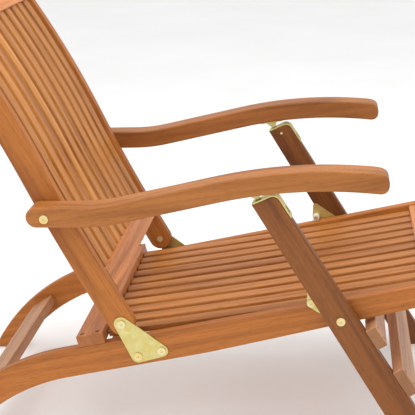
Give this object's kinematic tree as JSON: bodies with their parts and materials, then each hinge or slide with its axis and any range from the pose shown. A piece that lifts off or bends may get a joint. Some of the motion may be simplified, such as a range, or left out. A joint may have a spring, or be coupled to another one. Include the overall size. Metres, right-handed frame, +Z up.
{
  "type": "folding deck chair",
  "caption": "Folding wooden deck chair with slatted seat and back that fold flat, arms resting on swinging front legs.",
  "frame": {"origin": "centre of the bounding box in plan, on the floor", "axes": "+X towards the sitter's feet, +Y to the sitter's left, +Z up"},
  "size_m": [1.0974, 0.616, 0.94],
  "materials": {
    "teak_rail": "oiled teak, satin",
    "teak_slat": "oiled teak, satin",
    "teak_board": "oiled teak, pinkish boards",
    "teak_leg": "oiled teak, darker legs",
    "brass_bolt": "pale yellow-plated button heads",
    "zinc_plate": "yellow zinc plated sheet",
    "white_nylon": "white nylon"
  },
  "bodies": {
    "seat_frame": {"seat_rail_left": "teak_rail", "seat_rail_right": "teak_rail", "rear_cross_board": "teak_board", "front_cross_rail": "teak_board", "seat_batten_rear": "teak_board", "seat_batten_middle": "teak_board", "seat_slat_01": "teak_slat", "seat_slat_02": "teak_slat", "seat_slat_03": "teak_slat", "seat_slat_04": "teak_slat", "seat_slat_05": "teak_slat", "seat_slat_06": "teak_slat", "seat_slat_07": "teak_slat", "seat_slat_08": "teak_slat", "seat_slat_09": "teak_slat", "seat_slat_10": "teak_slat", "seat_slat_11": "teak_slat", "rear_stretcher": "teak_board", "hinge_plate_left": "zinc_plate", "hinge_plate_right": "zinc_plate", "hinge_plate_screws": "brass_bolt", "leg_pivot_bolts": "brass_bolt", "pivot_washers": "zinc_plate", "rear_board_screws": "brass_bolt", "back_pivot_bolts": "brass_bolt"},
    "back_frame": {"back_stile_left": "teak_rail", "back_stile_right": "teak_rail", "back_top_rail": "teak_board", "back_lower_rail": "teak_board", "back_batten": "teak_board", "back_slat_01": "teak_slat", "back_slat_02": "teak_slat", "back_slat_03": "teak_slat", "back_slat_04": "teak_slat", "back_slat_05": "teak_slat", "back_slat_06": "teak_slat", "back_slat_07": "teak_slat", "back_slat_08": "teak_slat", "back_slat_09": "teak_slat", "back_slat_10": "teak_slat", "arm_bolt_left": "brass_bolt", "arm_bolt_right": "brass_bolt"},
    "arm_left": {"arm_left": "teak_rail", "arm_catch_left": "zinc_plate"},
    "arm_right": {"arm_right": "teak_rail", "arm_catch_right": "zinc_plate"},
    "front_legs": {"front_leg_left": "teak_leg", "front_leg_right": "teak_leg", "stop_board": "teak_board", "lower_stretcher": "teak_board", "leg_strap_left": "zinc_plate", "leg_strap_right": "zinc_plate", "stop_plate_left": "zinc_plate", "stop_plate_right": "zinc_plate", "stop_bolts": "brass_bolt", "stop_sleeves": "white_nylon", "strap_pins": "brass_bolt", "leg_board_screws": "brass_bolt"}
  },
  "joints": [
    {"name": "fold", "type": "hinge", "parent": "seat_frame", "child": "back_frame", "pos_m": [-0.109, 0, 0.29], "axis": [0, 1, 0], "range_deg": [0, 100]},
    {"name": "leg_fold", "type": "hinge", "parent": "seat_frame", "child": "front_legs", "pos_m": [0.323, 0, 0.309], "axis": [0, 1, 0], "range_deg": [0, 97.1]},
    {"name": "arm_fold_left", "type": "hinge", "parent": "back_frame", "child": "arm_left", "pos_m": [-0.228, 0.28, 0.527], "axis": [0, -1, 0], "range_deg": [0, 110.1]},
    {"name": "arm_fold_right", "type": "hinge", "parent": "back_frame", "child": "arm_right", "pos_m": [-0.228, -0.28, 0.527], "axis": [0, -1, 0], "range_deg": [0, 110.1]}
  ],
  "couplings": [
    {"joint": "leg_fold", "follows": "fold", "ratio": 0.97},
    {"joint": "arm_fold_left", "follows": "fold", "ratio": 1.1},
    {"joint": "arm_fold_right", "follows": "fold", "ratio": 1.1}
  ]
}
